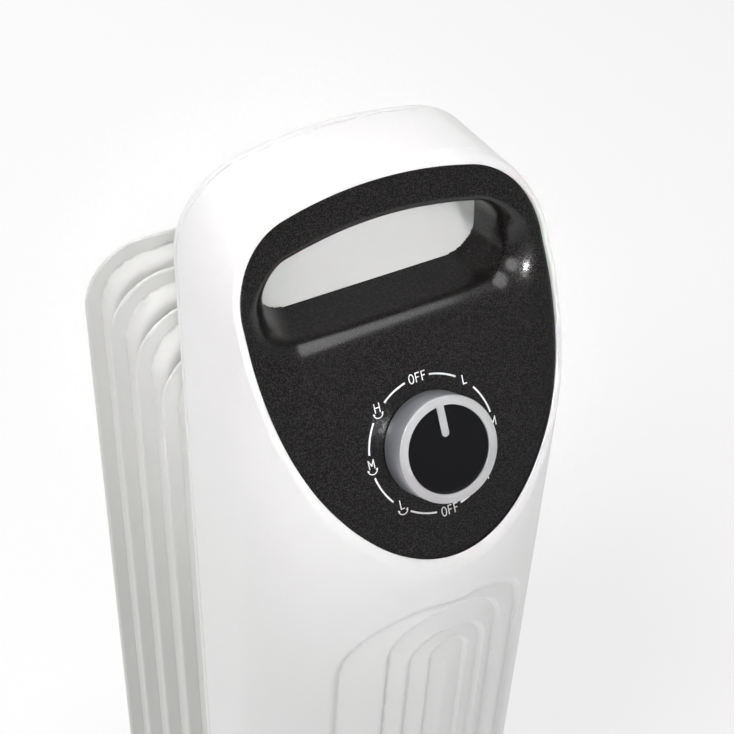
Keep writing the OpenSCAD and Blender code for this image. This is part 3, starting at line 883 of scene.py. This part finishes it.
for text, (cu, cv), swing in LABELS:
    widths = [LETTERS[c][0] for c in text]
    total = (sum(widths) + LETTER_GAP * (len(text) - 1)) * LETTER_H
    left = cu - total / 2
    for c, width in zip(text, widths):
        for path in LETTERS[c][1]:
            add_stroke(
                [(left + u * LETTER_H, cv + (v - 0.5) * LETTER_H) for u, v in path], LETTER_STROKE
            )
        left += (width + LETTER_GAP) * LETTER_H
    if swing:
        low_v = cv - LETTER_H / 2 - SWING_DROP
        add_stroke(circle_path(cu, low_v, SWING_R, SWING_R, *SWING_ENDS), SWING_STROKE)
        for end in SWING_ENDS:
            tip_u, tip_v = circle_path(cu, low_v, SWING_R, SWING_R, end, end, 1)[0]
            lean = SWING_TIP if end < 180 else -SWING_TIP
            tip_path = line((tip_u - lean, tip_v - 0.2), (tip_u + 0.4 * lean, tip_v + 0.6))
            add_stroke(tip_path, SWING_TIP_STROKE)
for start, end in ARCS:
    add_stroke(circle_path(0, 0, MARK_R, MARK_R, start, end), ARC_STROKE)
marks = closed_solid("dial_marks", np.array(marks_points), marks_faces, smooth_shaded=False)
place(marks, "heater", "housing_white", material=print_white)

# ---------------------------------------------------------------- the fins
fin_low, fin_high = node_box("fin_1")
FIN_W, FIN_H = fin_high[0] - fin_low[0], fin_high[2] - fin_low[2]
FIN_T = fin_high[1] - fin_low[1]
FIN_MID = (fin_low + fin_high) / 2
FIN_CORNER = 36.0
FIN_WEB = 2.4
CHANNEL_W, CHANNEL_IN, RISER_X = 16.0, 9.0, 17.0
GALLERY_IN, PAD_R = 38.0, 28.0
CHANNEL_RUN = 7.0


def channel_distance(x, z):
    """Distance outside the pressed oil channels, in the fin's own plane."""
    inner_w, inner_h = FIN_W / 2 - CHANNEL_IN, FIN_H / 2 - CHANNEL_IN
    mid = CHANNEL_W / 2
    loop = np.abs(rounded_rect(x, z, inner_w - mid, inner_h - mid, FIN_CORNER - CHANNEL_IN - mid))
    riser = np.hypot(np.abs(np.abs(x) - RISER_X), np.maximum(np.abs(z) - (inner_h - mid), 0))
    pads = np.hypot(x, np.abs(z) - (FIN_H / 2 - GALLERY_IN)) - PAD_R
    return either(either(loop - mid, riser - mid, 5.0), pads, 6.0)


def fin_field(x, y, z):
    """A fin: a thin sheet that swells over its oil channels and the pads for the galleries."""
    across, up = x - FIN_MID[0], z - FIN_MID[2]
    rise = np.clip(-channel_distance(across, up) / CHANNEL_RUN, 0, 1)
    dome = np.sqrt(1 - (1 - rise) ** 2)
    half_t = FIN_WEB / 2 + (FIN_T / 2 - FIN_WEB / 2) * dome
    sheet = (np.abs(y - FIN_MID[1]) - half_t) * 0.7
    return both(sheet, rounded_rect(across, up, FIN_W / 2, FIN_H / 2, FIN_CORNER), 1.0)


half_t = FIN_T / 2 + 1
first_fin = moulded(
    "fin_sheet_1",
    fin_field,
    planes((fin_low[0] - 1, fin_high[0] + 1, 2.0)),
    planes((FIN_MID[1] - half_t, FIN_MID[1] - 2, 1.5), (FIN_MID[1] - 2, FIN_MID[1] + 2, 0.8),
           (FIN_MID[1] + 2, FIN_MID[1] + half_t, 1.5)),
    planes((fin_low[2] - 1, fin_low[2] + 70, 2.0), (fin_low[2] + 70, fin_high[2] - 70, 5.0),
           (fin_high[2] - 70, fin_high[2] + 1, 2.0)),
)
place(first_fin, "heater", "enamel_white", "fin_1")
for number in range(2, 6):
    copy = first_fin.copy()
    copy.name = f"fin_sheet_{number}"
    copy.data = first_fin.data.copy()
    bpy.context.scene.collection.objects.link(copy)
    pitch = (node_box(f"fin_{number}")[0][1] - fin_low[1]) / MM
    copy.data.transform(Matrix.Translation((0, pitch, 0)))
    copy.parent = None
    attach(copy, "heater")
    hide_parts(f"fin_{number}")

# ---------------------------------------------------------------- carried-over CAD nodes
# Widths in mm of the small bevels on the CAD nodes that are seen
SOFT_EDGE = {
    "base_plate": 0.3, "mounting_plate": 0.4, "front_foot_bracket": 0.6, "rear_foot_bracket": 0.6,
    "castor_bushes": 0.5, "cord_gland": 0.5, "upper_gallery": 0.5, "lower_gallery": 0.5,
    "filler_plug": 0.5, "foot_bolts": 0.4, "wing_nuts": 0.4, "cover_screws": 0.25,
    "plate_screws": 0.4, "terminal_block": 0.4, "rotary_switch": 0.6, "tilt_switch": 0.6,
}
for number in range(1, 5):
    SOFT_EDGE[f"castor_fork_{number}"] = 0.5
    SOFT_EDGE[f"castor_wheel_{number}"] = 0.5
    SOFT_EDGE[f"castor_axle_{number}"] = 0.3
for node_name, width in SOFT_EDGE.items():
    bevel = NODES[node_name].modifiers.new("soft_edge", "BEVEL")
    bevel.width = width / MM
    bevel.segments = 2
    bevel.limit_method = "ANGLE"
    bevel.angle_limit = math.radians(35)
    bevel.harden_normals = True

# ---------------------------------------------------------------- camera, floor and light
CAMERA_AZIMUTH, CAMERA_ELEVATION = math.radians(-29.0), math.radians(37.7)
CAMERA_DISTANCE, DIAL_RIGHT, DIAL_DOWN = 0.9058, 0.0300, 0.0349
az, el = CAMERA_AZIMUTH, CAMERA_ELEVATION
view_back = Vector((math.sin(az) * math.cos(el), -math.cos(az) * math.cos(el), math.sin(el)))
view_right = Vector((math.cos(az), math.sin(az), 0))
view_up = view_back.cross(view_right)
camera_data = bpy.data.cameras.new("camera")
camera_data.sensor_width = 36.0
camera_data.lens = 97.46
camera_data.clip_end = 50.0
camera = bpy.data.objects.new("camera", camera_data)
camera.location = (
    Vector(to_object(DIAL)) - view_right * DIAL_RIGHT + view_up * DIAL_DOWN
    + view_back * CAMERA_DISTANCE
)
camera.rotation_mode = "QUATERNION"
camera.rotation_quaternion = (
    Matrix((view_right, view_up, view_back)).transposed().to_quaternion()
)
bpy.context.scene.collection.objects.link(camera)
bpy.context.scene.camera = camera

FLOOR = 30.0
floor_mesh = bpy.data.meshes.new("floor")
floor_mesh.from_pydata(
    [(-FLOOR, -FLOOR, 0), (FLOOR, -FLOOR, 0), (FLOOR, FLOOR, 0), (-FLOOR, FLOOR, 0)],
    [], [(0, 1, 2, 3)],
)
floor = bpy.data.objects.new("floor", floor_mesh)
bpy.context.scene.collection.objects.link(floor)
floor_material = new_material(
    "pale_floor", (0.88, 0.88, 0.88), 0.9, Emission_Color=(1, 1, 1, 1), Emission_Strength=0.16
)[0]
floor_mesh.materials.append(floor_material)

world = bpy.data.worlds.new("studio")
bpy.context.scene.world = world
world.use_nodes = True
world.node_tree.nodes["Background"].inputs["Color"].default_value = (1, 1, 1, 1)
world.node_tree.nodes["Background"].inputs["Strength"].default_value = 0.3


def soft_light(name, location, target, size, power, spread):
    """A round studio light at a place, turned to a target."""
    data = bpy.data.lights.new(name, "AREA")
    data.shape = "DISK"
    data.size = size
    data.energy = power
    data.spread = math.radians(spread)
    light = bpy.data.objects.new(name, data)
    light.location = location
    aim = Vector(target) - Vector(location)
    light.rotation_euler = aim.to_track_quat("-Z", "Y").to_euler()
    bpy.context.scene.collection.objects.link(light)


HEAD_RISE = 50.0
HEAD = Vector(to_object(DIAL + HEAD_RISE * UPSLOPE))
LIGHTS = [
    # name, direction from the tower's head, distance, size, power, spread in degrees
    ("key_light", (-0.62, -0.30, 0.72), 5.0, 2.6, 60.0, 180),
    ("top_light", (0.10, 0.08, 0.99), 4.5, 3.4, 84.0, 180),
    ("front_light", (-0.38, -0.80, 0.47), 5.0, 2.6, 4.0, 180),
    ("back_light", (-0.20, 0.72, 0.66), 5.0, 2.4, 64.0, 180),
    ("hand_light", (-0.34, -0.74, 0.58), 1.5, 0.14, 0.10, 12),
]
for name, direction, distance, size, power, spread in LIGHTS:
    soft_light(name, HEAD + Vector(direction) * distance, HEAD, size, power, spread)
bpy.context.scene.view_settings.view_transform = "Standard"
